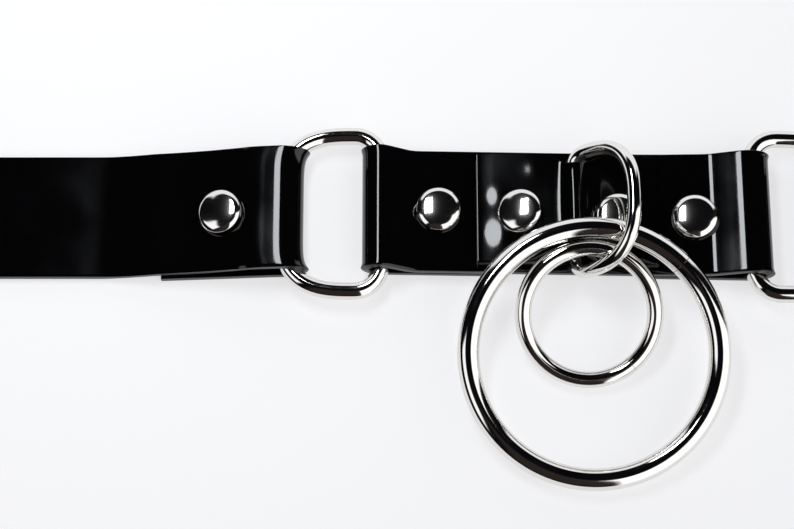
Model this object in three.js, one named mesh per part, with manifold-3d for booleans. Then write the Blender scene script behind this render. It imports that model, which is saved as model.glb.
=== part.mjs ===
// A waist belt of glossy strap in three lengths, joined by two D-shaped rings.
// The middle length carries a patch that holds a third, smaller D ring, and two round rings hang in it.
// The belt lies flat and straight, X along its length, with the round rings laid towards -Y.
// Millimetres, +Z up. The origin is the centre of the belt's footprint, on the surface it lies on.
import * as THREE from "three";
import { mergeVertices } from "three/addons/utils/BufferGeometryUtils.js";
import Module from "manifold-3d";

const wasm = await Module();
wasm.setup();

// Strap stock and the room left between pieces that touch
const strapWidth = 25;
const strapThickness = 1.6;
const clearance = 0.3;

// Overall reach from the middle of the belt to each end
const reach = 385;

// Side D rings, laid flat: a short straight bar, round corners and a broad curved side
const deeWire = 3.5;
const deeBar = 17;
const deeCorner = 7.3;
const deeDepth = 20;
const deeSquareness = 3;

// Middle length: the distance between the two bars it is folded round, and its folded-back tails
const barSpacing = 73.9;
const middleRise = 6;
const middleTail = 20.3;
const outerRivetInset = 11.6;

// Side lengths: where they rise to a ring or buckle, and their folded-back tails
const sideRise = 7.4;
const sideTail = 23.4;
const sideRivetInset = 11.5;
const tailRamp = 10;

// Patch over the middle, and the leaning D ring that it holds
const patchWidth = 22.5;
const patchWaist = 17.8;
const patchRivetInset = 8.4;
const patchRivetRoom = 0.1;
const waistReach = 7;
const bumpFillet = 1;
const linkWire = 2.8;
const linkBar = 17.8;
const linkCorner = 3.4;
const linkDepth = 15.8;
const linkSquareness = 2.6;
const linkLean = 48;
const linkOffset = 1.3;
const linkSag = 0.7;

// Round rings: wire, diameter over the middle of the wire, and where their centres lie along the belt
const bigWire = 4.1;
const bigDiameter = 47.6;
const bigOffset = 4.1;
const bigLap = 5.1;
const smallWire = 3.1;
const smallDiameter = 24.6;
const smallOffset = 4;

// Rivets: a domed cap on top, a shank, and a flat back sunk into the strap
const capDiameter = 8.9;
const capHeight = 2.2;
const capRim = 0.9;
const shankDiameter = 3;
const backDiameter = 7;
const backThickness = 0.4;

// Buckle: a wire frame with its prong, and the slot in the strap that the prong passes through
const buckleWire = 3.5;
const buckleWidth = 33;
const buckleCorner = 5;
const buckleDepth = 22;
const prongWire = 2.8;
const slotWidth = 5.4;
const slotLength = 18;

// Tip of the strap and its adjusting holes
const holeDiameter = 4;
const holeSpacing = 20;
const holeCount = 5;
const firstHoleInset = 30;

// Heights of the stacked plies, all measured at the middle of the strap's wall
const halfWall = strapThickness / 2;
const lowerPly = halfWall;
const upperPly = lowerPly + strapThickness + clearance;
const patchPly = upperPly + strapThickness + clearance;

// A loop clears its wire all round, and its lower side carries on as the tail
const deeLoop = deeWire / 2 + clearance + halfWall;
const deeHeight = lowerPly + deeLoop;
const buckleLoop = buckleWire / 2 + clearance + halfWall;
const buckleHeight = lowerPly + buckleLoop;
const linkLoop = linkWire / 2 + clearance + halfWall;
const linkHeight = patchPly - halfWall + linkWire / 2;

// The patch's raised crest over the link ring's bar, and the rivets that stand clear of its foot
const bumpRadius = linkLoop + bumpFillet;
const bumpDrop = patchPly + bumpFillet - linkHeight;
const bumpRun = Math.sqrt(bumpRadius ** 2 - bumpDrop ** 2);
const patchRivetX = linkOffset + bumpRun + capDiameter / 2 + patchRivetRoom;
const patchLength = 2 * (patchRivetX + patchRivetInset);

// Places along the belt
const barX = barSpacing / 2;
const farWireX = barX + deeDepth;
const buckleTilt = Math.asin((buckleHeight - buckleWire / 2) / buckleDepth);
const buckleBarX = reach - buckleDepth * Math.cos(buckleTilt) - buckleWire / 2;
const tipCentreX = reach - strapWidth / 2;

// How finely round stretches are divided
const bendSteps = 3;
const loopSteps = 10;
const tipSteps = 7;
const wireSides = 10;
const rivetSides = 16;

const vinyl = { color: 0x050506, roughness: 0.08, metalness: 0 };
const nickel = { color: 0xcfccc6, roughness: 0.08, metalness: 1 };
const degrees = (angle) => (angle * Math.PI) / 180;
const smooth = (share) => {
  const t = Math.min(1, Math.max(0, share));
  return t * t * (3 - 2 * t);
};

// A strap's side view, drawn as a pen moves: each step keeps the point and the heading there
class SideLine {
  constructor(x, z, heading) {
    this.steps = [{ x, z, heading: degrees(heading) }];
  }

  get last() {
    return this.steps[this.steps.length - 1];
  }

  line(length) {
    const { x, z, heading } = this.last;
    this.steps.push({ x: x + length * Math.cos(heading), z: z + length * Math.sin(heading), heading });
    return this;
  }

  // Turns left by a positive angle and right by a negative one
  arc(radius, angle, count) {
    const { x, z, heading } = this.last;
    const side = Math.sign(angle);
    const centreX = x - side * radius * Math.sin(heading);
    const centreZ = z + side * radius * Math.cos(heading);
    for (let i = 1; i <= count; i++) {
      const ahead = heading + (degrees(angle) * i) / count;
      this.steps.push({
        x: centreX + side * radius * Math.sin(ahead),
        z: centreZ - side * radius * Math.cos(ahead),
        heading: ahead,
      });
    }
    return this;
  }

  // Two equal arcs that shift the strap up or down while it runs on along X
  ease(run, rise) {
    const along = Math.sign(Math.cos(this.last.heading));
    const angle = (2 * Math.atan2(rise, run) * 180) / Math.PI;
    const radius = run / 2 / Math.sin(Math.abs(degrees(angle)));
    return this.arc(radius, along * angle, bendSteps).arc(radius, -along * angle, bendSteps);
  }
}

// Shares of the half width where a bent stretch has its lines of points
const EDGES = [-1, 1];
const ACROSS = [-1, -0.84, -0.62, -0.3, 0.3, 0.62, 0.84, 1];

// Joins two rows of points that may differ in number, both in order of their share of the width
function stitch(index, rowA, rowB, sharesA, sharesB, flip) {
  let a = 0;
  let b = 0;
  while (a < rowA.length - 1 || b < rowB.length - 1) {
    const stepA = b === rowB.length - 1 || (a < rowA.length - 1 && sharesA[a + 1] <= sharesB[b + 1]);
    const next = stepA ? rowA[a + 1] : rowB[b + 1];
    const face = [rowA[a], rowB[b], next];
    index.push(...(flip ? face.reverse() : face));
    if (stepA) a += 1;
    else b += 1;
  }
}

// A strap as one closed wall: its side line swept across its width, then shaped point by point
function strapGeometry(steps, { half, shares, shape }) {
  const points = [];
  const index = [];
  const rows = steps.map((step) => {
    const list = shares(step);
    const width = half(step);
    const sides = [1, -1].map((side) =>
      list.map((share) => {
        const x = step.x - side * halfWall * Math.sin(step.heading);
        const z = step.z + side * halfWall * Math.cos(step.heading);
        points.push(...shape(x, share * width, z));
        return points.length / 3 - 1;
      }),
    );
    return { list, left: sides[0], right: sides[1] };
  });
  for (let i = 0; i + 1 < rows.length; i++) {
    const [a, b] = [rows[i], rows[i + 1]];
    stitch(index, a.left, b.left, a.list, b.list, false);
    stitch(index, a.right, b.right, a.list, b.list, true);
    const nearWall = [a.right[0], b.right[0], b.left[0], a.left[0]];
    const farWall = [a.left.at(-1), b.left.at(-1), b.right.at(-1), a.right.at(-1)];
    for (const [p, q, r, s] of [nearWall, farWall]) index.push(p, q, r, p, r, s);
  }
  stitch(index, rows[0].right, rows[0].left, rows[0].list, rows[0].list, false);
  stitch(index, rows.at(-1).right, rows.at(-1).left, rows.at(-1).list, rows.at(-1).list, true);
  return new THREE.BufferGeometry()
    .setAttribute("position", new THREE.Float32BufferAttribute(points, 3))
    .setIndex(index);
}

// A three.js geometry as a solid, for cutting and joining, and back again
function toSolid(geometry) {
  const bare = geometry.clone();
  bare.deleteAttribute("normal");
  bare.deleteAttribute("uv");
  const merged = mergeVertices(bare, 1e-4);
  return new wasm.Manifold(
    new wasm.Mesh({
      numProp: 3,
      vertProperties: merged.attributes.position.array,
      triVerts: new Uint32Array(merged.index.array),
    }),
  );
}

function toGeometry(solid) {
  const mesh = solid.getMesh();
  return new THREE.BufferGeometry()
    .setAttribute("position", new THREE.BufferAttribute(mesh.vertProperties, 3))
    .setIndex(new THREE.BufferAttribute(mesh.triVerts, 1));
}

function cutAway(geometry, tools) {
  let solid = toSolid(geometry);
  for (const tool of tools) solid = solid.subtract(toSolid(tool));
  return toGeometry(solid);
}

// A shape turned round an upright axis at x, from pairs of radius and height
function turned(x, profile, sides) {
  const outline = profile.map(([radius, height]) => new THREE.Vector2(radius, height));
  return new THREE.LatheGeometry(outline, sides).rotateX(Math.PI / 2).translate(x, 0, 0);
}

// Where the wire of a side D ring runs, measured from its bar: near the bar's ends, and on its far side
function cornerBow(y) {
  const past = Math.min(deeCorner, Math.max(0, Math.abs(y) - deeBar / 2));
  return deeCorner - Math.sqrt(deeCorner ** 2 - past ** 2);
}

function farBow(y) {
  const share = Math.min(1, Math.abs(y) / (deeBar / 2 + deeCorner));
  return (deeDepth - deeCorner) * (1 - (1 - share ** deeSquareness) ** (1 / deeSquareness));
}

// A loop of strap goes along with the wire in it, and is wider where the wire slants across it
function followWire(x, y, z, wireX, fade, bow) {
  const step = 0.01;
  const slope = (bow(y + step) - bow(y - step)) / (2 * step);
  const spare = (deeWire / 2) * (Math.hypot(1, slope) - 1);
  const away = x - wireX;
  const near = smooth((fade - Math.abs(away)) / (fade - deeLoop));
  return near * (bow(y) + (spare * away) / Math.hypot(away, z - deeHeight));
}

// A D ring's centre line: bar on the Y axis, quarter rounds, then a superellipse out to its depth
function deeCurve(bar, corner, depth, squareness) {
  const points = [new THREE.Vector3(0, 0, 0)];
  const halfHeight = bar / 2 + corner;
  const cornerSteps = 4;
  const farSteps = 9;
  for (let i = 0; i < cornerSteps; i++) {
    const turn = (i / cornerSteps) * (Math.PI / 2);
    points.push(new THREE.Vector3(corner - corner * Math.cos(turn), bar / 2 + corner * Math.sin(turn), 0));
  }
  for (let i = 0; i < farSteps; i++) {
    const turn = (1 - i / farSteps) * (Math.PI / 2);
    const along = Math.abs(Math.cos(turn)) ** (2 / squareness);
    const across = Math.sin(turn) ** (2 / squareness);
    points.push(new THREE.Vector3(corner + (depth - corner) * along, halfHeight * across, 0));
  }
  const mirrored = points.slice(1).reverse().map((p) => new THREE.Vector3(p.x, -p.y, 0));
  const far = new THREE.Vector3(depth, 0, 0);
  return new THREE.CatmullRomCurve3([...points, far, ...mirrored], true, "centripetal");
}

function deeGeometry(bar, corner, depth, squareness, wire, steps) {
  return new THREE.TubeGeometry(deeCurve(bar, corner, depth, squareness), steps, wire / 2, wireSides, true);
}

// One rivet through plies whose lowest underside and highest top are given
function rivetGeometry(x, under, top) {
  const capRadius = capDiameter / 2;
  const seat = top + clearance;
  const domeBase = seat + capRim;
  const dome = [0.97, 0.88, 0.7, 0.4].map((share) => {
    const rise = (capHeight - capRim) * Math.sqrt(1 - share ** 2.6);
    return [capRadius * share, domeBase + rise];
  });
  const profile = [
    [0, under],
    [backDiameter / 2, under],
    [backDiameter / 2, under + backThickness],
    [shankDiameter / 2, under + backThickness],
    [shankDiameter / 2, seat],
    [capRadius * 0.94, seat],
    [capRadius, seat + capRim / 3],
    [capRadius, domeBase],
    ...dome,
    [0, seat + capHeight],
  ];
  return turned(x, profile, rivetSides);
}

// What a rivet needs cut from the plies: a round hole, and a shallow seat for its back
function rivetTool(x, under, top) {
  const holeRadius = shankDiameter / 2 + clearance;
  const seatRadius = backDiameter / 2 + clearance;
  const seatTop = under + backThickness + clearance;
  const profile = [
    [0, under - 1],
    [seatRadius, under - 1],
    [seatRadius, seatTop],
    [holeRadius, seatTop],
    [holeRadius, top + 1],
    [0, top + 1],
  ];
  return turned(x, profile, rivetSides);
}

const belt = new THREE.Group();

function place(name, geometry, finish, parent = belt) {
  const mesh = new THREE.Mesh(geometry, new THREE.MeshStandardMaterial(finish));
  mesh.name = name;
  parent.add(mesh);
  return mesh;
}

// Middle strap: folded round both bars, its tails turned in underneath
const outerRivetX = barX - outerRivetInset;
const middleLine = new SideLine(-barX + middleTail, lowerPly, 180)
  .line(middleTail)
  .arc(deeLoop, -180, loopSteps)
  .ease(middleRise, upperPly - lowerPly - 2 * deeLoop)
  .line(barSpacing - 2 * middleRise)
  .ease(middleRise, 2 * deeLoop + lowerPly - upperPly)
  .arc(deeLoop, -180, loopSteps)
  .line(middleTail);
const middleStrap = strapGeometry(middleLine.steps, {
  half: () => strapWidth / 2,
  shares: ({ x }) => (Math.abs(x) > barX - middleRise - 1 ? ACROSS : EDGES),
  shape: (x, y, z) => {
    const side = Math.sign(x);
    return [x + side * followWire(side * x, y, z, barX, middleRise, cornerBow), y, z];
  },
});
const lowerFace = lowerPly - halfWall;
const upperFace = upperPly + halfWall;
const patchFace = patchPly + halfWall;
const middleRivets = [
  [-outerRivetX, lowerFace, upperFace],
  [-patchRivetX, upperPly - halfWall, patchFace],
  [patchRivetX, upperPly - halfWall, patchFace],
  [outerRivetX, lowerFace, upperFace],
];
place("middle_strap", cutAway(middleStrap, middleRivets.map((seat) => rivetTool(...seat))), vinyl);
middleRivets.forEach((seat, i) => place("middle_rivet_" + (i + 1), rivetGeometry(...seat), nickel));

// Patch: riveted at both ends, raised over the link ring's bar and drawn in to a waist there
const bumpTurn = (Math.acos(bumpDrop / bumpRadius) * 180) / Math.PI;
const patchRun = patchLength / 2 + linkOffset - bumpRun;
const patchLine = new SideLine(-patchLength / 2, patchPly, 0)
  .line(patchRun - waistReach / 2)
  .line(waistReach / 2)
  .arc(bumpFillet, bumpTurn, 4)
  .arc(linkLoop, -2 * bumpTurn, 12)
  .arc(bumpFillet, bumpTurn, 4)
  .line(patchLength / 2 - linkOffset - bumpRun);
const patchHalf = ({ x }) => {
  const away = Math.min(1, Math.abs(x - linkOffset) / waistReach);
  return patchWidth / 2 - ((patchWidth - patchWaist) / 4) * (1 + Math.cos(Math.PI * away));
};
const patch = strapGeometry(patchLine.steps, {
  half: patchHalf,
  shares: () => EDGES,
  shape: (x, y, z) => [x, y, z],
});
place("ring_patch", cutAway(patch, middleRivets.slice(1, 3).map((seat) => rivetTool(...seat))), vinyl);

// Link ring: its bar lies under the patch, and it leans over the two round rings
const link = new THREE.Group();
link.position.set(linkOffset, -linkSag, linkHeight);
link.rotation.y = -degrees(linkLean);
place("link_ring", deeGeometry(linkBar, linkCorner, linkDepth, linkSquareness, linkWire, 38), nickel, link);
belt.add(link);

// Round rings: each lies over the patch's raised crest and comes down to the surface the belt lies on
const crest = linkHeight + linkLoop + halfWall + clearance;
function roundRing(name, diameter, wire, offset, centreY, tilt, steps) {
  const ring = place(name, new THREE.TorusGeometry(diameter / 2, wire / 2, wireSides, steps), nickel);
  ring.rotation.x = tilt;
  ring.position.set(offset, centreY, wire / 2 + (diameter / 2) * Math.sin(tilt));
  return ring;
}

// Angle at which a ring's wire, where it crosses the link's bar, clears the crest
function ringTilt(diameter, offset) {
  const across = Math.sqrt((diameter / 2) ** 2 - (offset - linkOffset) ** 2);
  return Math.asin(crest / (diameter / 2 + across));
}
const bigTilt = ringTilt(bigDiameter, bigOffset);
const smallTilt = ringTilt(smallDiameter, smallOffset);
const bigY = -bigLap - (bigDiameter / 2) * Math.cos(bigTilt);
const smallLap = bigLap + bigWire / 2 + clearance + smallWire / 2;
const smallY = -smallLap - (smallDiameter / 2) * Math.cos(smallTilt);
roundRing("big_ring", bigDiameter, bigWire, bigOffset, bigY, bigTilt, 44);
roundRing("small_ring", smallDiameter, smallWire, smallOffset, smallY, smallTilt, 34);

// The two side D rings, mirrored about the middle, with their bars in the middle strap's loops
for (const [name, side] of [["left_dee_ring", -1], ["right_dee_ring", 1]]) {
  const dee = deeGeometry(deeBar, deeCorner, deeDepth, deeSquareness, deeWire, 42);
  const ring = place(name, dee, nickel);
  ring.rotation.z = side < 0 ? Math.PI : 0;
  ring.position.set(side * barX, 0, deeHeight);
}

// A side strap's loop follows the curved wire, so its fold is hollowed towards the middle
const sideRivetX = farWireX + sideRivetInset;
const inwardBow = (y) => -farBow(y);
const followDee = (x, y, z) => {
  const side = Math.sign(x);
  return [x + side * followWire(side * x, y, z, farWireX, sideRise, inwardBow), y, z];
};
const nearDee = ({ x }) => Math.abs(x) < farWireX + sideRise + 1;
const sideRivet = (x) => [x, lowerFace, upperFace];

// Left strap: loop at the D ring, then a long run to a round tip with adjusting holes
const leftLine = new SideLine(-farWireX - sideTail, lowerPly, 0)
  .line(sideTail)
  .arc(deeLoop, 180, loopSteps)
  .ease(sideRise, upperPly - lowerPly - 2 * deeLoop)
  .line(sideTail - sideRise + clearance)
  .ease(tailRamp, lowerPly - upperPly);
leftLine.line(tipCentreX + leftLine.last.x);
for (let i = 1; i <= tipSteps; i++) {
  const turn = ((i / tipSteps) * Math.PI) / 2;
  const x = -tipCentreX - (strapWidth / 2) * Math.sin(turn);
  leftLine.steps.push({ x, z: lowerPly, heading: Math.PI });
}
const tipEnd = strapWidth / 8;
const tipHalf = ({ x }) => {
  const past = Math.max(0, -x - tipCentreX);
  return Math.max(tipEnd, Math.sqrt(Math.max(0, (strapWidth / 2) ** 2 - past ** 2)));
};
const leftStrap = strapGeometry(leftLine.steps, {
  half: tipHalf,
  shares: (step) => (nearDee(step) ? ACROSS : EDGES),
  shape: followDee,
});
const holes = Array.from({ length: holeCount }, (_, i) => {
  const x = -reach + firstHoleInset + i * holeSpacing;
  const radius = holeDiameter / 2;
  return turned(x, [[0, -1], [radius, -1], [radius, strapThickness + 1], [0, strapThickness + 1]], rivetSides);
});
place("left_strap", cutAway(leftStrap, [rivetTool(...sideRivet(-sideRivetX)), ...holes]), vinyl);
place("left_rivet", rivetGeometry(...sideRivet(-sideRivetX)), nickel);

// Right strap: the same loop at its ring, and a second loop round the buckle's bar
const rightLine = new SideLine(farWireX + sideTail, lowerPly, 180)
  .line(sideTail)
  .arc(deeLoop, -180, loopSteps)
  .ease(sideRise, upperPly - lowerPly - 2 * deeLoop)
  .line(sideTail - sideRise + clearance)
  .ease(tailRamp, lowerPly - upperPly);
const buckleTailEnd = buckleBarX - sideTail;
rightLine
  .line(buckleTailEnd - clearance - tailRamp - rightLine.last.x)
  .ease(tailRamp, upperPly - lowerPly)
  .line(sideTail - sideRise + clearance)
  .ease(sideRise, lowerPly + 2 * buckleLoop - upperPly)
  .arc(buckleLoop, -180, loopSteps)
  .line(sideTail);
const rightStrap = strapGeometry(rightLine.steps, {
  half: () => strapWidth / 2,
  shares: (step) => (nearDee(step) ? ACROSS : EDGES),
  shape: followDee,
});
const slotTool = new THREE.BoxGeometry(slotLength, slotWidth, 4 * buckleHeight)
  .translate(buckleBarX, 0, 0);
const buckleRivetX = buckleBarX - sideRivetInset;
const rightTools = [sideRivetX, buckleRivetX].map((x) => rivetTool(...sideRivet(x)));
place("right_strap", cutAway(rightStrap, [...rightTools, slotTool]), vinyl);
place("right_rivet", rivetGeometry(...sideRivet(sideRivetX)), nickel);
place("buckle_rivet", rivetGeometry(...sideRivet(buckleRivetX)), nickel);

// Buckle: a round-cornered frame whose far side comes down to the surface, and its prong laid across it
function buckleGeometry() {
  const halfFrame = buckleWidth / 2;
  const outline = new THREE.Shape()
    .moveTo(0, -halfFrame + buckleCorner)
    .lineTo(0, halfFrame - buckleCorner)
    .absarc(buckleCorner, halfFrame - buckleCorner, buckleCorner, Math.PI, Math.PI / 2, true)
    .lineTo(buckleDepth - buckleCorner, halfFrame)
    .absarc(buckleDepth - buckleCorner, halfFrame - buckleCorner, buckleCorner, Math.PI / 2, 0, true)
    .lineTo(buckleDepth, -halfFrame + buckleCorner)
    .absarc(buckleDepth - buckleCorner, -halfFrame + buckleCorner, buckleCorner, 0, -Math.PI / 2, true)
    .lineTo(buckleCorner, -halfFrame)
    .absarc(buckleCorner, -halfFrame + buckleCorner, buckleCorner, -Math.PI / 2, -Math.PI, true);
  const corners = outline.getPoints(5).slice(0, -1);
  const spine = corners.map(({ x, y }) => new THREE.Vector3(x, y, 0));
  const path = new THREE.CatmullRomCurve3(spine, true, "centripetal");
  const frame = new THREE.TubeGeometry(path, 44, buckleWire / 2, wireSides, true);
  const rise = Math.asin((buckleWire / 2 + prongWire / 4) / buckleDepth);
  const length = (buckleDepth + prongWire / 2) / Math.cos(rise);
  const prong = new THREE.CylinderGeometry(prongWire / 2, prongWire / 2, length, wireSides)
    .rotateZ(-Math.PI / 2)
    .translate(length / 2, 0, 0)
    .rotateY(-rise);
  return toGeometry(toSolid(frame).add(toSolid(prong)));
}
const buckle = place("buckle", buckleGeometry(), nickel);
buckle.position.set(buckleBarX, 0, buckleHeight);
buckle.rotation.y = buckleTilt;

// The footprint runs from the big ring's lowest edge to the D rings' far edge
const farEdge = deeBar / 2 + deeCorner + deeWire / 2;
const nearEdge = bigY - (bigDiameter / 2) * Math.cos(bigTilt) - bigWire / 2;
belt.position.y = -(farEdge + nearEdge) / 2;

export default belt;
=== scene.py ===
import math

import bpy
from mathutils import Matrix, Vector


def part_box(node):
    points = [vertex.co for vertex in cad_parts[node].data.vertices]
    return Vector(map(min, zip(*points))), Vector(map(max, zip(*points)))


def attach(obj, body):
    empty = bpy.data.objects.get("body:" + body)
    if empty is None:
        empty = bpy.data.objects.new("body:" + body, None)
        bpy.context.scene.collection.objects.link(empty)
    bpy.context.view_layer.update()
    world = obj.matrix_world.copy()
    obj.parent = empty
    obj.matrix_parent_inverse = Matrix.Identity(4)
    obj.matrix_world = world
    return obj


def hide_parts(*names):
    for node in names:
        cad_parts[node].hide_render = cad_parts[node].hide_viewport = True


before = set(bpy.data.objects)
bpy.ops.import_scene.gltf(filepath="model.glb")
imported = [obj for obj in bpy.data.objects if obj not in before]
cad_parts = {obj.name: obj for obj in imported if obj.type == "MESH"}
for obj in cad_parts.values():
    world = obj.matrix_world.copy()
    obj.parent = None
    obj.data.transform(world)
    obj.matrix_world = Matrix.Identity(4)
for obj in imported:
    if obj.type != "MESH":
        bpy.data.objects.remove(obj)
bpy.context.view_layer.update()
mm = 0.001

# Camera
# It looks down on the belt's middle from the near side, as the photograph does.
# Its aim and distance are measured from the middle of the middle strap.
middle_low, middle_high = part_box("middle_strap")
belt_y = (middle_low.y + middle_high.y) / 2
strap_half = (middle_high.y - middle_low.y) / 2
camera_distance = 380 * mm
camera_tilt = math.radians(16.2)
camera_aim = Vector((-33.6 * mm, belt_y - 9.5 * mm, 0))
focal_share = 1911 / 794
bpy.ops.object.camera_add(rotation=(camera_tilt, 0, 0))
camera = bpy.context.active_object
back = Vector((0, -math.sin(camera_tilt), math.cos(camera_tilt)))
camera.location = camera_aim + back * camera_distance
camera.data.lens = focal_share * camera.data.sensor_width
camera.data.clip_start = 0.01
camera.data.clip_end = 20
bpy.context.scene.camera = camera

# Floor
# A plain pale sheet under the belt. It glows by itself, as a sheet lit from below does, so the shadows
# on it stay faint.
floor_side = 6.0
bpy.ops.mesh.primitive_plane_add(size=floor_side)
floor = bpy.context.active_object
floor.name = "floor"
floor_finish = bpy.data.materials.new("pale floor")
floor_finish.use_nodes = True
floor_shader = floor_finish.node_tree.nodes["Principled BSDF"]
floor_shader.inputs["Base Color"].default_value = (0.45, 0.45, 0.455, 1)
floor_shader.inputs["Emission Color"].default_value = (1.0, 1.0, 1.02, 1)
floor_shader.inputs["Emission Strength"].default_value = 0.62
floor_shader.inputs["Roughness"].default_value = 0.6
floor_shader.inputs["Specular IOR Level"].default_value = 0.2
floor.data.materials.append(floor_finish)

# Light
# A small soft box hangs close over the belt's left half, a little beyond it. The room round it is dark but
# for its white walls: a broad one at the right, a paler one on the far side and a patch on the left.
key_place = Vector((-0.0965, belt_y + 0.109, 0.25))
key_width = 0.056
key_length = 0.138
key_radiance = 13
bpy.ops.object.light_add(type="AREA", location=key_place)
key = bpy.context.active_object
key.name = "key"
key.data.shape = "RECTANGLE"
key.data.size = key_width
key.data.size_y = key_length
key.data.color = (0.93, 0.97, 1.0)
key.data.energy = key_radiance * math.pi * key_width * key_length

room = bpy.data.worlds.new("dark room")
bpy.context.scene.world = room
room.use_nodes = True
room_nodes = room.node_tree.nodes
room_links = room.node_tree.links
ray = room_nodes.new("ShaderNodeTexCoord")
ray_parts = room_nodes.new("ShaderNodeSeparateXYZ")
room_links.new(ray.outputs["Generated"], ray_parts.inputs["Vector"])


def room_sum(operation, *values):
    """One sum on the ray's direction. A value is a number or the result of another sum."""
    step = room_nodes.new("ShaderNodeMath")
    step.operation = operation
    for slot, value in zip(step.inputs, values):
        if isinstance(value, (int, float)):
            slot.default_value = value
        else:
            room_links.new(value, slot)
    return step.outputs["Value"]


def room_fade(value, off, full):
    """0 where value is off and 1 where it is full, both in degrees, with a soft change between them."""
    step = room_nodes.new("ShaderNodeMapRange")
    step.interpolation_type = "SMOOTHSTEP"
    step.inputs["From Min"].default_value = math.radians(off)
    step.inputs["From Max"].default_value = math.radians(full)
    room_links.new(value, step.inputs["Value"])
    return step.outputs["Result"]


bearing = room_sum("ARCTAN2", ray_parts.outputs["Y"], ray_parts.outputs["X"])
from_overhead = room_sum("ARCCOSINE", ray_parts.outputs["Z"])
walls = [
    # bearing of the middle, half its width, upper and lower edge from overhead, softness, colour
    (-31, 41, 26, 100, 4, (1.35, 1.35, 1.33)),
    (86, 46, 60, 100, 6, (1.0, 1.0, 1.03)),
    (200, 18, 38, 60, 6, (1.2, 1.2, 1.22)),
    (262, 20, 20, 70, 12, (0.024, 0.018, 0.015)),
]
glow = None
for middle, half_width, upper, lower, soft, colour in walls:
    aside = room_sum("ABSOLUTE", room_sum("WRAP", room_sum("SUBTRACT", bearing, math.radians(middle)),
                                          math.pi, -math.pi))
    inside = room_fade(aside, half_width + soft, half_width)
    below = room_fade(from_overhead, upper - soft, upper)
    above = room_fade(from_overhead, lower + soft, lower)
    share = room_sum("MULTIPLY", inside, room_sum("MULTIPLY", below, above))
    paint = room_nodes.new("ShaderNodeVectorMath")
    paint.operation = "MULTIPLY_ADD"
    paint.inputs[0].default_value = colour
    room_links.new(share, paint.inputs[1])
    if glow is None:
        paint.inputs[2].default_value = (0.003, 0.003, 0.004)
    else:
        room_links.new(glow, paint.inputs[2])
    glow = paint.outputs["Vector"]
room_links.new(glow, room_nodes["Background"].inputs["Color"])
bpy.context.scene.view_settings.view_transform = "Standard"

# Left strap
# A band of pressed vinyl, glossy on its faces and dull where its edges are cut. It runs from a round tip
# with adjusting holes, rises over its own tail and folds round the left D ring.
thick = 1.6 * mm
ply_low = thick / 2
dee_wire = 3.5 * mm
dee_height = 3.65 * mm
loop_radius = dee_height - ply_low
loop_steps = 20
fold_across = 36
left_low, left_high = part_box("left_strap")
dee_low, dee_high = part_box("left_dee_ring")
far_wire = -dee_low.x - dee_wire / 2
reach = -left_low.x
side_tail = 23.4 * mm
hole_diameter = 4 * mm
hole_spacing = 20 * mm
first_hole = 30 * mm
hole_count = 5

vinyl = bpy.data.materials.new("pressed vinyl")
vinyl.use_nodes = True
vinyl_nodes = vinyl.node_tree.nodes
vinyl_shader = vinyl_nodes["Principled BSDF"]
vinyl_shader.inputs["Base Color"].default_value = (0.0014, 0.0014, 0.0018, 1)
vinyl_shader.inputs["IOR"].default_value = 1.5
vinyl_place = vinyl_nodes.new("ShaderNodeTexCoord")
vinyl_swell = vinyl_nodes.new("ShaderNodeTexNoise")
vinyl_swell.inputs["Scale"].default_value = 90
vinyl_swell.inputs["Detail"].default_value = 2
vinyl_swell_bump = vinyl_nodes.new("ShaderNodeBump")
vinyl_swell_bump.inputs["Strength"].default_value = 0.12
vinyl_swell_bump.inputs["Distance"].default_value = 0.1 * mm
vinyl_grain = vinyl_nodes.new("ShaderNodeTexNoise")
vinyl_grain.inputs["Scale"].default_value = 2200
vinyl_grain.inputs["Detail"].default_value = 3
vinyl_grain_bump = vinyl_nodes.new("ShaderNodeBump")
vinyl_grain_bump.inputs["Strength"].default_value = 0.1
vinyl_grain_bump.inputs["Distance"].default_value = 0.01 * mm
vinyl_wear = vinyl_nodes.new("ShaderNodeMapRange")
vinyl_wear.inputs["From Min"].default_value = 0.3
vinyl_wear.inputs["From Max"].default_value = 0.7
vinyl_wear.inputs["To Min"].default_value = 0.045
vinyl_wear.inputs["To Max"].default_value = 0.085
vinyl_links = vinyl.node_tree.links
vinyl_links.new(vinyl_place.outputs["Object"], vinyl_swell.inputs["Vector"])
vinyl_links.new(vinyl_place.outputs["Object"], vinyl_grain.inputs["Vector"])
vinyl_links.new(vinyl_swell.outputs["Fac"], vinyl_swell_bump.inputs["Height"])
vinyl_links.new(vinyl_grain.outputs["Fac"], vinyl_grain_bump.inputs["Height"])
vinyl_links.new(vinyl_swell_bump.outputs["Normal"], vinyl_grain_bump.inputs["Normal"])
vinyl_links.new(vinyl_grain_bump.outputs["Normal"], vinyl_shader.inputs["Normal"])
vinyl_links.new(vinyl_swell.outputs["Fac"], vinyl_wear.inputs["Value"])
vinyl_links.new(vinyl_wear.outputs["Result"], vinyl_shader.inputs["Roughness"])

cut_edge = bpy.data.materials.new("cut vinyl edge")
cut_edge.use_nodes = True
cut_nodes = cut_edge.node_tree.nodes
cut_shader = cut_nodes["Principled BSDF"]
cut_shader.inputs["Base Color"].default_value = (0.015, 0.015, 0.017, 1)
cut_shader.inputs["Roughness"].default_value = 0.42
cut_place = cut_nodes.new("ShaderNodeTexCoord")
cut_marks = cut_nodes.new("ShaderNodeTexNoise")
cut_marks.inputs["Scale"].default_value = 1500
cut_bump = cut_nodes.new("ShaderNodeBump")
cut_bump.inputs["Strength"].default_value = 0.5
cut_bump.inputs["Distance"].default_value = 0.03 * mm
cut_edge.node_tree.links.new(cut_place.outputs["Object"], cut_marks.inputs["Vector"])
cut_edge.node_tree.links.new(cut_marks.outputs["Fac"], cut_bump.inputs["Height"])
cut_edge.node_tree.links.new(cut_bump.outputs["Normal"], cut_shader.inputs["Normal"])


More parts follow.
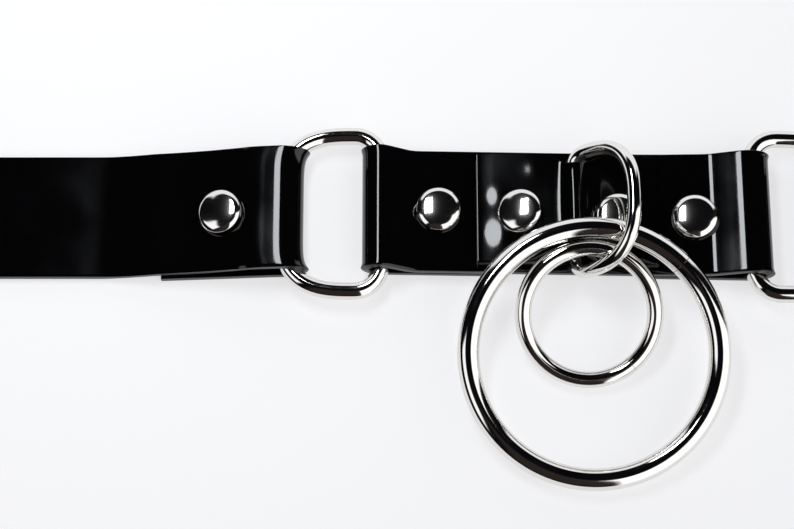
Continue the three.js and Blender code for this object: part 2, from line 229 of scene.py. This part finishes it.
def clear_selection():
    """Leaves object mode with nothing selected."""
    if bpy.context.mode != "OBJECT":
        bpy.ops.object.mode_set(mode="OBJECT")
    bpy.ops.object.select_all(action="DESELECT")


def strip_of_strap(name, start, heading, moves, across):
    """Draws a strap's middle surface: one edge, extruded along runs and spun round bends in the XZ plane.
    A move is ("run", length, steps) or ("bend", radius, degrees, steps); a bend to the left is positive."""
    clear_selection()
    bpy.ops.mesh.primitive_plane_add(size=2 * strap_half, location=(0, belt_y, 0))
    piece = bpy.context.active_object
    piece.name = name
    bpy.ops.object.mode_set(mode="EDIT")
    bpy.ops.mesh.select_all(action="DESELECT")
    bpy.ops.object.mode_set(mode="OBJECT")
    for vertex in piece.data.vertices:
        vertex.select = vertex.co.x > 0
    bpy.ops.object.mode_set(mode="EDIT")
    bpy.ops.mesh.delete(type="VERT")
    bpy.ops.mesh.select_all(action="SELECT")
    bpy.ops.mesh.subdivide(number_cuts=across)
    pen = Vector((start[0], 0, start[1]))
    bpy.ops.transform.translate(value=(pen.x + strap_half, 0, pen.z))
    angle = math.radians(heading)
    for kind, size, *rest in moves:
        ahead = Vector((math.cos(angle), 0, math.sin(angle)))
        if kind == "run":
            steps = rest[0]
            for _ in range(steps):
                bpy.ops.mesh.extrude_region_move(TRANSFORM_OT_translate={"value": ahead * size / steps})
            pen += ahead * size
        else:
            turn = math.radians(rest[0])
            side = math.copysign(1, turn)
            centre = pen + Vector((-ahead.z, 0, ahead.x)) * side * size
            bpy.ops.mesh.spin(steps=rest[1], angle=turn, axis=(0, 1, 0),
                              center=(centre.x, belt_y, centre.z))
            angle += turn
            pen = centre + Matrix.Rotation(turn, 3, (0, -1, 0)) @ (pen - centre)
    clear_selection()
    piece.select_set(True)
    bpy.ops.object.transform_apply(location=True)
    return piece


def smooth_step(share):
    """0 to 1 with level ends."""
    share = min(1, max(0, share))
    return share * share * (3 - 2 * share)


def read_table(table, place):
    """The value at a place in a table of (place, value) pairs, along a smooth curve through them."""
    place = min(max(place, table[0][0]), table[-1][0])
    i = 0
    while i < len(table) - 2 and place > table[i + 1][0]:
        i += 1
    before = table[max(0, i - 1)]
    start, end = table[i], table[i + 1]
    after = table[min(len(table) - 1, i + 2)]
    span = end[0] - start[0]
    t = (place - start[0]) / span
    start_slope = (end[1] - before[1]) / (end[0] - before[0]) * span
    end_slope = (after[1] - start[1]) / (after[0] - start[0]) * span
    return ((2 * t ** 3 - 3 * t ** 2 + 1) * start[1] + (t ** 3 - 2 * t ** 2 + t) * start_slope
            + (3 * t ** 2 - 2 * t ** 3) * end[1] + (t ** 3 - t ** 2) * end_slope)


# The long ply's slope over its tail: distance from the loop's middle, share of the fold's full height.
side_ramp = [
    (0, 1), (0.5, 1.005), (1, 1.008), (1.6, 1.003), (2.3, 0.99), (3.8, 0.961), (5.6, 0.926),
    (7.7, 0.86), (9.4, 0.772), (11.5, 0.69), (13.9, 0.6), (15.6, 0.544), (18.9, 0.456),
    (22.4, 0.377), (25.8, 0.307), (26.9, 0.274), (29.4, 0.185), (32.4, 0.085), (35.4, 0.015),
    (37.4, 0), (42, 0),
]
fold_top = dee_height + loop_radius
side_slack = 1.1 * mm
corner_flare = 1.05 * mm
side_fade = 2.5 * mm
level_edge = 0.01 * mm


def side_lift(away):
    """How high a side strap's long ply lies above its tail's level, so far from its loop's middle."""
    return (fold_top - ply_low) * read_table(side_ramp, away / mm)


def loop_slack(across):
    """How far a side strap's loop stands off from the curved wire's middle. Its two corners flare."""
    return side_slack + corner_flare * (abs(across) / strap_half) ** 7


def follow_wire(point, wire_x, fade, bow, outward):
    """Where a point of a loop goes: along with the slanting wire, and further from it where it slants more.
    The loop's round end, outward from the wire, goes all the way, and the plies behind it less and less."""
    across = point.y - belt_y
    step = 0.01 * mm
    slope = (bow(across + step) - bow(across - step)) / (2 * step)
    spare = dee_wire / 2 * (math.hypot(1, slope) - 1)
    away = abs(point.x) - wire_x
    behind = -outward * away
    near = smooth_step((fade - behind) / (fade + loop_radius))
    shift = bow(across) + spare * away / math.hypot(away, point.z - dee_height)
    return Vector((point.x + math.copysign(1, point.x) * near * shift, point.y, point.z))


def dress_strap(piece, node, cutters=()):
    """Gives a strap's middle surface its thickness, cuts its holes and rounds its edges."""
    clear_selection()
    bpy.context.view_layer.objects.active = piece
    piece.select_set(True)
    piece.data.materials.append(vinyl)
    piece.data.materials.append(cut_edge)
    bpy.ops.object.mode_set(mode="EDIT")
    bpy.ops.mesh.select_all(action="SELECT")
    bpy.ops.mesh.normals_make_consistent(inside=False)
    bpy.ops.object.mode_set(mode="OBJECT")
    wall = piece.modifiers.new("wall", "SOLIDIFY")
    wall.thickness = thick
    wall.offset = 0
    wall.material_offset_rim = 1
    bpy.ops.object.modifier_apply(modifier="wall")
    for cutter in cutters:
        hole = piece.modifiers.new("hole", "BOOLEAN")
        hole.operation = "DIFFERENCE"
        hole.object = cutter
        bpy.ops.object.modifier_apply(modifier="hole")
        bpy.data.objects.remove(cutter)
    edge = piece.modifiers.new("edge", "BEVEL")
    edge.width = 0.16 * mm
    edge.segments = 3
    edge.limit_method = "ANGLE"
    edge.angle_limit = math.radians(50)
    bpy.ops.object.modifier_apply(modifier="edge")
    bpy.ops.object.shade_smooth_by_angle(angle=math.radians(40))
    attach(piece, "root")
    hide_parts(node)


def reshape(piece, move):
    """Moves every vertex of a piece where move says."""
    for vertex in piece.data.vertices:
        vertex.co = move(vertex.co)


def upright_cutter(x, y, radius, height):
    """A plain rod that punches a hole."""
    clear_selection()
    bpy.ops.mesh.primitive_cylinder_add(vertices=40, radius=radius, depth=height, location=(x, y, 0))
    cutter = bpy.context.active_object
    bpy.ops.object.transform_apply(location=True)
    return cutter


tip_steps = 10
tip_runs = []
for i in range(tip_steps):
    near_share = math.sin(math.pi / 2 * i / tip_steps)
    far_share = math.sin(math.pi / 2 * (i + 1) / tip_steps)
    tip_runs.append(("run", strap_half * (far_share - near_share), 1))
left_strap = strip_of_strap(
    "left_strap_band",
    (-far_wire - side_tail, ply_low),
    0,
    [("run", side_tail, 30), ("bend", loop_radius, 180, loop_steps), ("run", 40 * mm, 100)]
    + [("run", reach - strap_half - far_wire - 40 * mm, 50)]
    + tip_runs,
    fold_across,
)
tip_centre = -reach + strap_half


def side_askew(point, long_ply):
    """How far a side strap has strayed from the belt's line: up at its ring, down at its tail's end."""
    away = abs(point.x) - far_wire
    if long_ply:
        return 0.5 * mm * smooth_step(1 - away / (33 * mm))
    return 0.5 * mm - 0.95 * mm * min(1, max(0, (away + loop_radius) / (side_tail + loop_radius)))


def left_shape(point):
    long_ply = point.z > fold_top - level_edge
    moved = follow_wire(point, far_wire, side_fade, lambda across: -loop_slack(across), -1)
    if long_ply:
        moved.z = ply_low + side_lift(-moved.x - far_wire + loop_slack(point.y - belt_y))
    past = max(0, tip_centre - point.x) / strap_half
    narrow = max(0.25, math.sqrt(max(0, 1 - past * past)))
    moved.y = belt_y + (moved.y - belt_y) * narrow + side_askew(point, long_ply or point.z > dee_height)
    return moved


reshape(left_strap, left_shape)
hole_cutters = []
for i in range(hole_count):
    hole_x = -reach + first_hole + i * hole_spacing
    hole_cutters.append(upright_cutter(hole_x, belt_y, hole_diameter / 2, 10 * mm))
dress_strap(left_strap, "left_strap", hole_cutters)

# Left and right D rings
# Steel rod bent round to a D and nickel plated: a short straight bar, round corners and a broad curved
# side. The joint of the rod is in the bar, inside the middle strap's fold.
dee_bar = 21.8 * mm
dee_corner = 5.2 * mm
dee_depth = 20 * mm
bar_x = far_wire - dee_depth

nickel = bpy.data.materials.new("polished nickel plate")
nickel.use_nodes = True
nickel_nodes = nickel.node_tree.nodes
nickel_shader = nickel_nodes["Principled BSDF"]
nickel_shader.inputs["Base Color"].default_value = (0.80, 0.785, 0.76, 1)
nickel_shader.inputs["Metallic"].default_value = 1
nickel_place = nickel_nodes.new("ShaderNodeTexCoord")
nickel_haze = nickel_nodes.new("ShaderNodeTexNoise")
nickel_haze.inputs["Scale"].default_value = 260
nickel_haze.inputs["Detail"].default_value = 4
nickel_polish = nickel_nodes.new("ShaderNodeMapRange")
nickel_polish.inputs["From Min"].default_value = 0.3
nickel_polish.inputs["From Max"].default_value = 0.75
nickel_polish.inputs["To Min"].default_value = 0.035
nickel_polish.inputs["To Max"].default_value = 0.10
nickel_pits = nickel_nodes.new("ShaderNodeTexNoise")
nickel_pits.inputs["Scale"].default_value = 1400
nickel_pits.inputs["Detail"].default_value = 2
nickel_bump = nickel_nodes.new("ShaderNodeBump")
nickel_bump.inputs["Strength"].default_value = 0.12
nickel_bump.inputs["Distance"].default_value = 0.015 * mm
nickel_links = nickel.node_tree.links
nickel_links.new(nickel_place.outputs["Object"], nickel_haze.inputs["Vector"])
nickel_links.new(nickel_place.outputs["Object"], nickel_pits.inputs["Vector"])
nickel_links.new(nickel_haze.outputs["Fac"], nickel_polish.inputs["Value"])
nickel_links.new(nickel_polish.outputs["Result"], nickel_shader.inputs["Roughness"])
nickel_links.new(nickel_pits.outputs["Fac"], nickel_bump.inputs["Height"])
nickel_links.new(nickel_bump.outputs["Normal"], nickel_shader.inputs["Normal"])


def dee_outline(bar, corner, depth, squareness):
    """A D's centre line in its own plane: the bar along Y at X 0, the curved side towards +X."""
    half_height = bar / 2 + corner
    corner_steps = 14
    far_steps = 44
    upper = [Vector((0, bar / 4, 0))]
    for i in range(corner_steps):
        turn = math.pi / 2 * i / corner_steps
        upper.append(Vector((corner - corner * math.cos(turn), bar / 2 + corner * math.sin(turn), 0)))
    for i in range(far_steps):
        turn = math.pi / 2 * (1 - i / far_steps)
        along = math.cos(turn) ** (2 / squareness)
        up = math.sin(turn) ** (2 / squareness)
        upper.append(Vector((corner + (depth - corner) * along, half_height * up, 0)))
    lower = [Vector((p.x, -p.y, 0)) for p in reversed(upper)]
    return [Vector((0, 0, 0))] + upper + [Vector((depth, 0, 0))] + lower


def bent_wire(name, outline, wire, place):
    """A closed rod: a circle drawn out to the outline, made a curve, thickened, and laid in its place."""
    clear_selection()
    bpy.ops.mesh.primitive_circle_add(vertices=len(outline), radius=1)
    piece = bpy.context.active_object
    piece.name = name
    for vertex, point in zip(piece.data.vertices, outline):
        vertex.co = place @ point
    bpy.ops.object.convert(target="CURVE")
    piece.data.bevel_depth = wire / 2
    piece.data.bevel_resolution = 16
    bpy.ops.object.convert(target="MESH")
    piece = bpy.context.active_object
    bpy.ops.object.mode_set(mode="EDIT")
    bpy.ops.mesh.select_all(action="SELECT")
    bpy.ops.mesh.remove_doubles(threshold=0.001 * mm)
    bpy.ops.mesh.normals_make_consistent(inside=False)
    bpy.ops.object.mode_set(mode="OBJECT")
    bpy.ops.object.shade_smooth()
    return piece


def plate(piece, *nodes, finish=None):
    """Nickel plates a piece of hardware and lets it stand for its CAD nodes."""
    piece.data.materials.append(finish or nickel)
    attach(piece, "root")
    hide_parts(*nodes)


side_dee = dee_outline(dee_bar, dee_corner, dee_depth, 3)
lean_of_line = 0.017
line_centre = 12.8 * mm


def middle_askew(x):
    """The belt's middle lies very slightly turned: how far to the far side it is at x."""
    return -lean_of_line * (x - line_centre)


left_seat = Matrix.Translation((-bar_x, belt_y + 0.12 * mm, dee_height)) @ Matrix.Rotation(math.pi, 4, "Z")
plate(bent_wire("left_dee_ring_rod", side_dee, dee_wire, left_seat), "left_dee_ring")
right_seat = (Matrix.Translation((bar_x, belt_y + middle_askew(bar_x), dee_height))
              @ Matrix.Rotation(-lean_of_line, 4, "Z"))
plate(bent_wire("right_dee_ring_rod", side_dee, dee_wire, right_seat), "right_dee_ring")

# Middle strap
# The same vinyl, folded round both D rings' bars with its tails turned in underneath. Its left fold drops
# steeply to the tail, and the right one comes down in a longer slope.
ply_gap = 0.3 * mm
ply_high = ply_low + thick + ply_gap
middle_tail = 20.3 * mm
middle_fade = 4 * mm
# The middle strap's two slopes down from its folds: distance from the wire, share of the fold's height.
steep_slope = [(0, 1), (1, 0.9), (2.95, 0.56), (4.45, 0.3), (5.55, 0.13), (6.75, 0.03), (8, 0), (10, 0)]
gentle_slope = [
    (0, 1), (1, 0.985), (1.8, 0.945), (2.4, 0.895), (4, 0.725), (5.15, 0.603), (6.25, 0.486),
    (7.6, 0.342), (8.2, 0.293), (9, 0.25), (10.2, 0.21), (12.5, 0.165), (17, 0.06), (22, 0), (24, 0),
]


def middle_lift(x):
    """How high the middle strap's upper ply lies above the level where its plies touch."""
    if x < 0:
        return (fold_top - ply_high) * read_table(steep_slope, (x + bar_x) / mm)
    return (fold_top - ply_high) * read_table(gentle_slope, (bar_x - x) / mm)


middle_strap = strip_of_strap(
    "middle_strap_band",
    (-bar_x + middle_tail, ply_low),
    180,
    [
        ("run", middle_tail, 30),
        ("bend", loop_radius, -180, loop_steps),
        ("run", 2 * bar_x, 180),
        ("bend", loop_radius, -180, loop_steps),
        ("run", middle_tail, 30),
    ],
    fold_across,
)


def corner_bow(across):
    """How far the D ring's wire has turned outwards past its bar's end."""
    past = min(dee_corner, max(0, abs(across) - dee_bar / 2))
    return dee_corner - math.sqrt(dee_corner ** 2 - past ** 2)


def middle_shape(point):
    moved = follow_wire(point, bar_x, middle_fade, corner_bow, 1)
    if point.z > fold_top - level_edge:
        moved.z = ply_high + middle_lift(moved.x)
    moved.y += middle_askew(point.x)
    return moved


reshape(middle_strap, middle_shape)
dress_strap(middle_strap, "middle_strap")

# Patch
# A short length of the same vinyl with a rivet at each end, stretched over the link ring's bar. The bar
# lifts it to a low tent, its sides are drawn in to a waist there, and its crest sags towards its edges.
patch_low, patch_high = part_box("ring_patch")
patch_end = patch_high.x
patch_half = (patch_high.y - patch_low.y) / 2
patch_waist_half = 8.9 * mm
waist_reach = 7 * mm
link_x = 1.3 * mm
link_wire = 2.8 * mm
ply_patch = ply_high + thick + ply_gap
link_height = ply_patch - thick / 2 + link_wire / 2
crest_lift = link_height + link_wire / 2 + ply_gap + thick / 2 - ply_patch
crest_bulge = 0.45 * mm
crest_sag = 0.75 * mm
patch = strip_of_strap("ring_patch_band", (-patch_end, ply_patch), 0,
                       [("run", 2 * patch_end, 140)], fold_across)
# The tent's two sides from the patch's end to the crest: share of the way, share of the full lift.
left_tent = [(0, 0), (0.05, 0.015), (0.2, 0.12), (0.4, 0.265), (0.6, 0.41), (0.75, 0.52), (0.83, 0.58),
             (0.88, 0.645), (0.93, 0.79), (0.975, 0.94), (1, 1), (1.01, 1)]
right_tent = [(0, 0), (0.24, 0.03), (0.51, 0.08), (0.683, 0.19), (0.774, 0.355), (0.848, 0.61),
              (0.909, 0.84), (0.957, 0.95), (1, 1), (1.01, 1)]
# The vinyl swells a little round the left rivet. Of each swelling in mm: x, across, height, reach.
puckers = [(-12.6, -5.2, 0.17, 2.4), (-13.2, 2.5, 0.08, 1.9), (-6.3, 8.0, 0.1, 1.7)]


def tent_lift(x, across):
    """How far the patch stands above the level where the plies touch."""
    if x < link_x:
        share = read_table(left_tent, (x + patch_end) / (patch_end + link_x))
    else:
        share = read_table(right_tent, (patch_end - x) / (patch_end - link_x))
    crown = crest_bulge - crest_sag * (across / patch_waist_half) ** 2
    lift = share * crest_lift + share ** 3 * crown + middle_lift(x) * (1 - share)
    for pucker_x, pucker_across, height, reach_out in puckers:
        away = math.hypot(x / mm - pucker_x, across / mm - pucker_across) / reach_out
        lift += height * mm * math.exp(-away * away)
    return lift


def patch_shape(point):
    away = min(1, abs(point.x - link_x) / waist_reach)
    half = patch_half - (patch_half - patch_waist_half) / 2 * (1 + math.cos(math.pi * away))
    across = (point.y - belt_y) * half / strap_half
    return Vector((point.x, belt_y + across + middle_askew(point.x), point.z + tent_lift(point.x, across)))


reshape(patch, patch_shape)
dress_strap(patch, "ring_patch")

# Link ring
# A smaller D ring of thinner rod. Its bar lies under the patch's ridge, and the rest leans up to the right
# with both round rings hung in it.
link_sag = 0.7 * mm
link_lean = math.radians(48)
link_outline = dee_outline(17.8 * mm, 3.4 * mm, 15.8 * mm, 2.6)
link_seat = (Matrix.Translation((link_x, belt_y - link_sag, link_height))
             @ Matrix.Rotation(-link_lean, 4, "Y"))
plate(bent_wire("link_ring_rod", link_outline, link_wire, link_seat), "link_ring")

# Rivets
# Pressed steel, nickel plated: a domed cap with a rolled rim on top of the plies, a shank through them and
# a flat back underneath. Every cap sits as level as the strap under it.
cap_radius = 4.45 * mm
cap_height = 2.2 * mm

cap_nickel = nickel.copy()
cap_nickel.name = "worn nickel plate"
cap_nodes = cap_nickel.node_tree.nodes
cap_links = cap_nickel.node_tree.links
cap_haze = cap_nodes.new("ShaderNodeBsdfPrincipled")
cap_haze.inputs["Base Color"].default_value = (0.80, 0.785, 0.76, 1)
cap_haze.inputs["Metallic"].default_value = 1
cap_haze.inputs["Roughness"].default_value = 0.2
cap_blend = cap_nodes.new("ShaderNodeMixShader")
cap_blend.inputs["Fac"].default_value = 0.1
cap_links.new(cap_nodes["Principled BSDF"].outputs["BSDF"], cap_blend.inputs[1])
cap_links.new(cap_haze.outputs["BSDF"], cap_blend.inputs[2])
cap_links.new(cap_blend.outputs["Shader"], cap_nodes["Material Output"].inputs["Surface"])

# The cap's outline as arcs: outer and inner share of its radius, slope at each in degrees.
cap_bands = [(0.78, 0.0, 14.0, 0.0), (0.965, 0.78, 42.0, 20.0), (1.0, 0.965, 90.0, 42.0)]


def band_drop(outer, inner, outer_slope, inner_slope):
    """How far the cap falls across one of its arcs."""
    start, end = math.radians(outer_slope), math.radians(inner_slope)
    bend_radius = cap_radius * (outer - inner) / (math.sin(start) - math.sin(end))
    return bend_radius * (math.cos(end) - math.cos(start))


cap_arcs = [(band, band_drop(*band)) for band in cap_bands]
shank_radius = 1.5 * mm
back_radius = 3.5 * mm
back_thick = 0.4 * mm


def turned_piece(name, profile, steps):
    """A point drawn along the profile, radius and height, and spun once round."""
    clear_selection()
    bpy.ops.mesh.primitive_plane_add(size=1 * mm)
    piece = bpy.context.active_object
    piece.name = name
    bpy.ops.object.mode_set(mode="EDIT")
    bpy.ops.mesh.select_all(action="SELECT")
    bpy.ops.mesh.merge(type="CENTER")
    bpy.ops.transform.translate(value=(profile[0][0], 0, profile[0][1]))
    for (radius, height), (next_radius, next_height) in zip(profile, profile[1:]):
        step = (next_radius - radius, 0, next_height - height)
        bpy.ops.mesh.extrude_region_move(TRANSFORM_OT_translate={"value": step})
    bpy.ops.mesh.select_all(action="SELECT")
    bpy.ops.mesh.spin(steps=steps, angle=2 * math.pi, axis=(0, 0, 1), center=(0, 0, 0))
    bpy.ops.mesh.select_all(action="SELECT")
    bpy.ops.mesh.remove_doubles(threshold=0.001 * mm)
    bpy.ops.mesh.normals_make_consistent(inside=False)
    bpy.ops.object.mode_set(mode="OBJECT")
    bpy.ops.object.shade_smooth_by_angle(angle=math.radians(40))
    return piece


def rivet(name, node, x, askew, under, top, lean):
    """A rivet whose cap sits on top and leans by so many degrees towards +X."""
    seat = top + 0.1 * mm
    profile = [(0, under), (back_radius, under), (back_radius, under + back_thick)]
    profile += [(shank_radius, under + back_thick), (shank_radius, seat)]
    profile += [(cap_radius * 0.93, seat), (cap_radius * 0.98, seat + 0.08 * mm)]
    edge_height = seat + cap_height - sum(drop for _, drop in cap_arcs)
    profile.append((cap_radius, seat + 0.3 * mm))
    height = edge_height
    for (outer, inner, outer_slope, inner_slope), drop in reversed(cap_arcs):
        start = math.sin(math.radians(outer_slope))
        end = math.sin(math.radians(inner_slope))
        bend_radius = cap_radius * (outer - inner) / (start - end)
        for i in range(9):
            turn = math.radians(outer_slope + (inner_slope - outer_slope) * i / 8)
            profile.append((cap_radius * inner + bend_radius * (math.sin(turn) - end),
                            height + bend_radius * (math.cos(turn) - math.cos(math.radians(outer_slope)))))
        height += drop
    piece = turned_piece(name, profile, 96)
    pivot = Matrix.Translation((0, 0, seat))
    cap_turn = pivot @ Matrix.Rotation(math.radians(lean), 4, "Y") @ pivot.inverted()
    for vertex in piece.data.vertices:
        if vertex.co.z > seat - 0.01 * mm:
            vertex.co = cap_turn @ vertex.co
    piece.data.transform(Matrix.Translation((x, belt_y + askew, 0)))
    plate(piece, node, finish=cap_nickel)


def rivet_x(node):
    low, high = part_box(node)
    return (low.x + high.x) / 2


middle_top = ply_high + thick / 2
patch_top = ply_patch + thick / 2
patch_under = ply_high - thick / 2
patch_rivet = rivet_x("middle_rivet_3")
outer_rivet = rivet_x("middle_rivet_4")
side_rivet = rivet_x("right_rivet")
side_top = ply_low + thick / 2 + side_lift(side_rivet - far_wire)
rivet("left_rivet_cap", "left_rivet", -side_rivet, -0.5 * mm, 0, side_top, -15)
# Of each of the middle's four: node, x, how far off its place in x and y, underside, top, lean.
middle_rivets = [
    ("middle_rivet_1", -outer_rivet, 0, 0, 0, middle_top + middle_lift(-outer_rivet), 0),
    ("middle_rivet_2", -patch_rivet, 0, -1.0, patch_under, patch_top + tent_lift(-patch_rivet, 0), -17),
    ("middle_rivet_3", patch_rivet, 0.8, -1.4, patch_under, patch_top + tent_lift(patch_rivet, 0), -1),
    ("middle_rivet_4", outer_rivet, 0, -0.9, 0, middle_top + middle_lift(outer_rivet), -7),
]
for node, x, along_off, across_off, under, top, lean in middle_rivets:
    rivet(node + "_cap", node, x + along_off * mm, middle_askew(x) + across_off * mm, under, top, lean)

# Round rings
# Rod bent to a circle with its ends butted together: the joint shows as a fine dark line. Both rest on the
# patch's ridge, pass through the link ring and come down to the floor on the near side.


def round_ring(name, node, diameter, wire, x, lap, seam):
    """A ring that rests its far side on the ridge and its near side on the floor, with its joint at seam
    degrees round from +X."""
    clear_selection()
    radius = diameter / 2
    crest = link_height + link_wire / 2 + ply_gap + thick + ply_gap
    chord = math.sqrt(radius ** 2 - (x - link_x) ** 2)
    tilt = math.asin(crest / (radius + chord))
    bpy.ops.mesh.primitive_torus_add(major_segments=240, minor_segments=48,
                                     major_radius=radius, minor_radius=wire / 2)
    piece = bpy.context.active_object
    piece.name = name
    seam_at = math.radians(seam)
    groove = 0.07 * mm / radius
    for vertex in piece.data.vertices:
        turn = math.atan2(vertex.co.y, vertex.co.x) - seam_at
        turn = math.remainder(turn, 2 * math.pi)
        step = 2 * math.pi / 240
        if abs(turn) < 1.4 * step:
            ray = Vector((math.cos(seam_at + turn), math.sin(seam_at + turn), 0))
            axis_point = ray * radius
            if abs(turn) < 0.4 * step:
                vertex.co = axis_point + (vertex.co - axis_point) * 0.9
            else:
                closer = math.copysign(groove, turn) - turn
                vertex.co = Matrix.Rotation(closer, 3, "Z") @ vertex.co
    piece.location = (x, belt_y - lap - radius * math.cos(tilt), wire / 2 + radius * math.sin(tilt))
    piece.rotation_euler = (tilt, 0, 0)
    bpy.ops.object.transform_apply(location=True, rotation=True)
    bpy.ops.object.shade_smooth_by_angle(angle=math.radians(30))
    plate(piece, node)


big_lap = 5.35 * mm
big_wire = 4.4 * mm
small_wire = 3.3 * mm
small_lap = big_lap + big_wire / 2 + small_wire / 2
round_ring("big_ring_rod", "big_ring", 48.5 * mm, big_wire, 4.4 * mm, big_lap, 45)
round_ring("small_ring_rod", "small_ring", 25.7 * mm, small_wire, 3.7 * mm, small_lap, -50)

# Right strap
# The same vinyl as the left one. One end folds round the right D ring and the other round the buckle's bar,
# each with its tail turned under and one rivet. A slot through the second fold lets the prong out.
buckle_wire = 3.5 * mm
buckle_depth = 22 * mm
buckle_low, buckle_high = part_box("buckle")
buckle_tilt = math.asin((dee_height - buckle_wire / 2) / buckle_depth)
buckle_x = buckle_high.x - buckle_wire / 2 - buckle_depth * math.cos(buckle_tilt)
slot_width = 5.4 * mm
slot_length = 18 * mm
right_askew = middle_askew(bar_x) - lean_of_line * dee_depth
right_strap = strip_of_strap(
    "right_strap_band",
    (far_wire + side_tail, ply_low),
    180,
    [
        ("run", side_tail, 30),
        ("bend", loop_radius, -180, loop_steps),
        ("run", 40 * mm, 100),
        ("run", buckle_x - far_wire - 80 * mm, 40),
        ("run", 40 * mm, 100),
        ("bend", loop_radius, -180, loop_steps),
        ("run", side_tail, 30),
    ],
    fold_across,
)


def right_shape(point):
    moved = point.copy()
    if point.x < (far_wire + buckle_x) / 2:
        moved = follow_wire(point, far_wire, side_fade, lambda across: -loop_slack(across), -1)
    if point.z > fold_top - level_edge:
        from_dee = moved.x - far_wire + loop_slack(point.y - belt_y)
        moved.z = ply_low + side_lift(min(from_dee, buckle_x - moved.x))
    moved.y += right_askew
    return moved


reshape(right_strap, right_shape)
clear_selection()
bpy.ops.mesh.primitive_cube_add(size=1, location=(buckle_x, belt_y + right_askew, dee_height))
slot_cutter = bpy.context.active_object
slot_cutter.scale = (slot_length, slot_width, 20 * mm)
bpy.ops.object.transform_apply(location=True, scale=True)
dress_strap(right_strap, "right_strap", [slot_cutter])
rivet("right_rivet_cap", "right_rivet", side_rivet, right_askew, 0, side_top, 12)
rivet("buckle_rivet_cap", "buckle_rivet", rivet_x("buckle_rivet"), right_askew, 0,
      ply_low + thick / 2 + side_lift(buckle_x - rivet_x("buckle_rivet")), -12)

# Buckle
# A nickel-plated frame of bent rod with round corners, held by its bar in the strap's fold. The prong is
# rolled round the bar, comes out of the slot and rests on the frame's far side.
buckle_width = 33 * mm
buckle_corner = 5 * mm
prong_wire = 2.8 * mm


def frame_outline(width, depth, corner):
    """A rectangle with round corners: the bar along Y at X 0, the far side at X depth."""
    half = width / 2
    centres = [(corner, half - corner, 180), (depth - corner, half - corner, 90),
               (depth - corner, corner - half, 0), (corner, corner - half, -90)]
    points = []
    for x, y, start in centres:
        for i in range(15):
            turn = math.radians(start - 90 * i / 14)
            points.append(Vector((x + corner * math.cos(turn), y + corner * math.sin(turn), 0)))
    return points


buckle_seat = (Matrix.Translation((buckle_x, belt_y + right_askew, dee_height))
               @ Matrix.Rotation(buckle_tilt, 4, "Y"))
plate(bent_wire("buckle_frame", frame_outline(buckle_width, buckle_depth, buckle_corner),
                buckle_wire, buckle_seat), "buckle")

roll_radius = buckle_wire / 2 + prong_wire / 2 * 0.8
prong_points = []
for i in range(22):
    turn = math.radians(-60 - 14.5 * i)
    prong_points.append(Vector((roll_radius * math.cos(turn), 0, roll_radius * math.sin(turn))))
prong_top = prong_points[-1]
prong_rest = buckle_wire / 2 + prong_wire * 0.36
for i in range(1, 25):
    share = i / 24
    prong_points.append(Vector((prong_top.x + (buckle_depth + 1.3 * mm - prong_top.x) * share, 0,
                                prong_top.z + (prong_rest - prong_top.z) * share)))
clear_selection()
bpy.ops.mesh.primitive_plane_add(size=1 * mm)
prong = bpy.context.active_object
prong.name = "buckle_prong"
bpy.ops.object.mode_set(mode="EDIT")
bpy.ops.mesh.select_all(action="SELECT")
bpy.ops.mesh.merge(type="CENTER")
bpy.ops.transform.translate(value=prong_points[0])
for start, end in zip(prong_points, prong_points[1:]):
    bpy.ops.mesh.extrude_region_move(TRANSFORM_OT_translate={"value": end - start})
bpy.ops.object.mode_set(mode="OBJECT")
bpy.ops.object.convert(target="CURVE")
prong.data.bevel_depth = prong_wire / 2
prong.data.bevel_resolution = 10
prong.data.use_fill_caps = True
prong_line = prong.data.splines[0].points
for i, point in enumerate(prong_line):
    along = i / (len(prong_line) - 1)
    point.radius = 0.8 - 0.16 * smooth_step((along - 0.5) / 0.5)
bpy.ops.object.convert(target="MESH")
prong = bpy.context.active_object
bpy.ops.object.mode_set(mode="EDIT")
bpy.ops.mesh.select_all(action="SELECT")
bpy.ops.mesh.remove_doubles(threshold=0.001 * mm)
bpy.ops.mesh.normals_make_consistent(inside=False)
bpy.ops.object.mode_set(mode="OBJECT")
tip_round = prong.modifiers.new("tip", "BEVEL")
tip_round.width = 0.5 * mm
tip_round.segments = 4
tip_round.limit_method = "ANGLE"
tip_round.angle_limit = math.radians(60)
bpy.ops.object.modifier_apply(modifier="tip")
bpy.ops.object.shade_smooth_by_angle(angle=math.radians(50))
prong.data.transform(buckle_seat)
plate(prong, "buckle")
